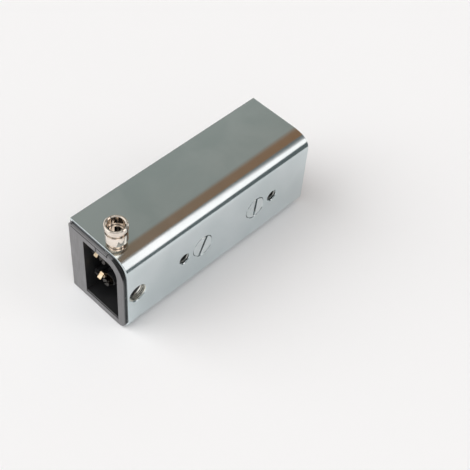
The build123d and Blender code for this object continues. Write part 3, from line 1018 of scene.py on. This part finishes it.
@dataclass
class Studio:
    """Floor, surroundings, lamps and camera.

    The surroundings are painted by direction. A lean is the angle from straight up towards the web's side, in
    degrees. Starts, sides and spans along Y, and the panel's foot along Z, are parts of the unit direction.
    The panel's upper edge has the leans of panel_edge where the direction's Y is as in panel_start.
    """

    floor_reach: float = 6.0
    floor_card: MattCard = MattCard("pale_floor", colour=(0.93, 0.93, 0.935), cloud_scale=3.0)
    camera_place: Vector = field(default_factory=lambda: Vector((174.76, -178.16, 305.14)) * MM)
    camera_forward: Vector = field(default_factory=lambda: Vector((-0.41751, 0.48558, -0.76804)))
    camera_right: Vector = field(default_factory=lambda: Vector((0.70842, 0.70328, 0.05954)))
    focal_px: float = 1028.7
    image_px: float = 470.0
    sensor: float = 36.0
    clip_start: float = 0.01
    key_from: Vector = field(default_factory=lambda: Vector((-0.53, -0.60, 0.61)))
    key_strength: float = 1.7
    key_angle: float = 60.0
    key_mirrored: float = 0.28
    fill_from: Vector = field(default_factory=lambda: Vector((0.33, -0.15, 0.93)))
    fill_strength: float = 0.5
    fill_angle: float = 40.0
    flag_towards: Vector = field(default_factory=lambda: Vector((0.873, 0.487, 0.0)))
    flag_distance: float = 0.1
    flag_height: float = 0.047
    flag_reach: float = 0.6
    flag_card: MattCard = MattCard("dark_card", colour=(0.11, 0.13, 0.132), cloud_scale=8.0)
    panel_start: Triple = (0.39, 0.45, 0.58)
    panel_edge: Triple = (18.0, 8.0, 40.0)
    panel_fade: float = 4.0
    panel_sides: Span = (0.33, 0.64)
    side_fade: float = 0.05
    panel_foot: float = 0.19
    foot_fade: float = 0.03
    panel_radiance: Colour = (1.52, 1.42, 1.39)
    board_span: Span = (-28.5, 8.0)
    board_fade: float = 5.5
    board_near: Colour = (0.257, 0.185, 0.131)
    board_far: Colour = (0.292, 0.155, 0.082)
    behind_span: Span = (-0.05, 0.3)
    surround: float = 0.58
    ceiling_loss: float = 0.08
    backdrop: float = 0.86
    ceiling_stops: tuple[tuple[float, Colour], ...] = (
        (-90.0, (0.50, 0.50, 0.50)),
        (-60.0, (0.40, 0.41, 0.405)),
        (-36.0, (0.378, 0.396, 0.366)),
        (-31.5, (0.338, 0.352, 0.325)),
        (4.0, (0.318, 0.335, 0.307)),
        (10.0, (0.11, 0.13, 0.135)),
        (90.0, (0.30, 0.31, 0.315)),
    )

    def build(self) -> None:
        """Sets up the whole studio."""
        self._floor()
        self._sky()
        glint = self.key_strength * self.key_mirrored
        self._lamp("key", self.key_from, self.key_strength - glint, self.key_angle, mirrored=False)
        self._lamp("key_glint", self.key_from, glint, self.key_angle)
        self._lamp("fill", self.fill_from, self.fill_strength, self.fill_angle)
        self._flag()
        self._camera()
        bpy.context.scene.view_settings.view_transform = "Standard"

    def _floor(self) -> None:
        """Lays the pale floor under the object."""
        Modeller.clear()
        bpy.ops.mesh.primitive_plane_add(size=2 * self.floor_reach)
        floor = bpy.context.object
        floor.name = "floor"
        paint(floor, self.floor_card.material())

    def _sky(self) -> None:
        """Paints the surroundings: a pale backdrop, a grey ceiling, a warm board and a bright panel."""
        world = bpy.data.worlds.new("studio")
        bpy.context.scene.world = world
        world.use_nodes = True
        draft = Draft(world.node_tree)
        way = draft.node("ShaderNodeTexCoord").outputs["Generated"]
        split = draft.node("ShaderNodeSeparateXYZ", {0: way})
        ahead = split.outputs["Y"]
        start, middle, end = self.panel_start
        lean = draft.math("ARCTAN2", split.outputs["X"], split.outputs["Z"])
        behind = draft.span(ahead, *self.behind_span, 0.0, 1.0)
        faded = draft.span(ahead, start, end, 0.0, 1.0)
        faded.node.interpolation_type = "LINEAR"
        board = draft.blend(faded, self.board_near, self.board_far)
        near = draft.span(ahead, start, middle, 1.0, 0.0)
        sunk = draft.math("MULTIPLY", near, math.radians(self.panel_edge[0] - self.panel_edge[1]))
        shade = draft.span(ahead, start, end, self.ceiling_loss, 0.0)
        ceiling = draft.blend(shade, self._ceiling(draft, lean), (0.0, 0.0, 0.0))
        warm = self._board(draft, draft.math("SUBTRACT", lean, sunk), lean)
        colour = draft.blend(behind, (self.surround,) * 3, draft.blend(warm, ceiling, board))
        colour = draft.blend(self._panel(draft, split, lean, sunk), colour, self.panel_radiance)
        low = draft.before(split.outputs["Z"], self.panel_foot - self.foot_fade, self.foot_fade)
        colour = draft.blend(low, colour, (self.backdrop,) * 3)
        background = world.node_tree.nodes["Background"]
        draft.tree.links.new(colour, background.inputs["Color"])
        background.inputs["Strength"].default_value = 1.0

    def _ceiling(self, draft: Draft, lean: bpy.types.NodeSocket) -> bpy.types.NodeSocket:
        """Colours what hangs over and behind the object by its lean from straight up.

        Args:
            draft: the sky's draft.
            lean: the lean towards the web's side, in radians.

        Returns:
            The colour's socket.
        """
        share = draft.span(lean, -math.pi / 2, math.pi / 2, 0.0, 1.0)
        share.node.interpolation_type = "LINEAR"
        ramp = draft.node("ShaderNodeValToRGB", {"Fac": share})
        elements = ramp.color_ramp.elements
        while len(elements) < len(self.ceiling_stops):
            elements.new(0.5)
        for element, (degrees, colour) in zip(elements, self.ceiling_stops):
            element.position = (degrees + 90.0) / 180.0
            element.color = (*colour, 1.0)
        return ramp.outputs["Color"]

    def _board(
        self, draft: Draft, lowered: bpy.types.NodeSocket, lean: bpy.types.NodeSocket
    ) -> bpy.types.NodeSocket:
        """Masks the warm board between the ceiling and the panel.

        Args:
            draft: the sky's draft.
            lowered: the lean, less what the panel's edge has sunk.
            lean: the lean towards the web's side, in radians.

        Returns:
            The mask's socket.
        """
        start, end = (math.radians(edge) for edge in self.board_span)
        fade = math.radians(self.board_fade)
        return draft.product(draft.past(lean, start, fade), draft.before(lowered, end - fade, fade))

    def _panel(
        self, draft: Draft, split: bpy.types.Node, lean: bpy.types.NodeSocket, sunk: bpy.types.NodeSocket
    ) -> bpy.types.NodeSocket:
        """Masks the long bright panel that the bend mirrors, whose upper edge sinks towards both ends.

        Args:
            draft: the sky's draft.
            split: the direction's parts.
            lean: the lean towards the web's side, in radians.
            sunk: how far the edge sinks at the near end, in radians.

        Returns:
            The mask's socket.
        """
        ahead = split.outputs["Y"]
        high, low = (math.radians(edge) for edge in self.panel_edge[1:])
        edge = draft.span(ahead, self.panel_start[1], self.panel_start[2], high, low)
        edge.node.interpolation_type = "LINEAR"
        beyond = draft.math("SUBTRACT", lean, draft.math("ADD", edge, sunk))
        near, far = self.panel_sides
        return draft.product(
            draft.past(beyond, 0.0, math.radians(self.panel_fade)),
            draft.past(split.outputs["Z"], self.panel_foot - self.foot_fade, self.foot_fade),
            draft.past(ahead, near - self.side_fade, self.side_fade),
            draft.before(ahead, far, self.side_fade),
        )

    @staticmethod
    def _lamp(name: str, towards: Vector, strength: float, angle: float, mirrored: bool = True) -> None:
        """Hangs a broad soft lamp far away.

        Args:
            name: the lamp's name.
            towards: direction from the object to the lamp.
            strength: its strength.
            angle: its apparent width in degrees.
            mirrored: whether shiny surfaces show it.
        """
        lamp = bpy.data.lights.new(name, "SUN")
        lamp.energy = strength
        lamp.angle = math.radians(angle)
        holder = bpy.data.objects.new(name, lamp)
        holder.rotation_euler = towards.to_track_quat("Z", "Y").to_euler()
        holder.visible_glossy = mirrored
        bpy.context.scene.collection.objects.link(holder)

    def _flag(self) -> None:
        """Stands a low dark card that the camera does not see, mirrored as the dark line along the bend."""
        Modeller.clear()
        bpy.ops.mesh.primitive_plane_add(size=1.0)
        card = bpy.context.object
        card.name = "flag"
        middle = (0.0, 0.0, 0.0)
        bpy.ops.object.mode_set(mode="EDIT")
        bpy.ops.mesh.select_all(action="SELECT")
        bpy.ops.transform.resize(value=(self.flag_height, self.flag_reach, 1.0), center_override=middle)
        bpy.ops.transform.rotate(value=math.pi / 2, orient_axis="Y", center_override=middle)
        bpy.ops.transform.translate(value=(self.flag_distance, 0.0, self.flag_height / 2))
        turn = math.atan2(self.flag_towards.y, self.flag_towards.x)
        bpy.ops.transform.rotate(value=-turn, orient_axis="Z", center_override=middle)
        bpy.ops.object.mode_set(mode="OBJECT")
        paint(card, self.flag_card.material())
        card.visible_camera = False
        card.visible_diffuse = False
        card.visible_shadow = False

    def _camera(self) -> None:
        """Places the camera where the photograph was taken from."""
        eye = bpy.data.cameras.new("camera")
        eye.sensor_width = self.sensor
        eye.lens = self.sensor * self.focal_px / self.image_px
        eye.clip_start = self.clip_start
        holder = bpy.data.objects.new("camera", eye)
        back = -self.camera_forward.normalized()
        right = self.camera_right.normalized()
        up = back.cross(right).normalized()
        right = up.cross(back).normalized()
        turn = Matrix((right, up, back)).transposed().to_4x4()
        holder.matrix_world = Matrix.Translation(self.camera_place) @ turn
        bpy.context.scene.collection.objects.link(holder)
        bpy.context.scene.camera = holder


def paint(piece: bpy.types.Object, material: bpy.types.Material) -> None:
    """Makes a material the only one of a piece.

    Args:
        piece: the object to dress.
        material: its finish.
    """
    piece.data.materials.clear()
    piece.data.materials.append(material)
    LOG.info("%s: %s", piece.name, material.name)


def main() -> None:
    """Loads the frame, models and dresses the door holder and sets the studio."""
    logging.basicConfig(level=logging.INFO, format="%(message)s")
    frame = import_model()
    patterns = Patterns()
    nodes = frame["nodes"]
    channel = SheetChannel(nodes, {mount["name"]: mount for mount in frame["record"]["mounts"]})
    channel.dress(patterns)
    channel.cut_threads(patterns)
    TerminalEnd(nodes).dress(patterns)
    MagnetBody(nodes).dress(patterns)
    Studio().build()
    LOG.info("dressed %d solids and %d threads", len(nodes), len(channel.threads))


if __name__ == "__main__":
    main()
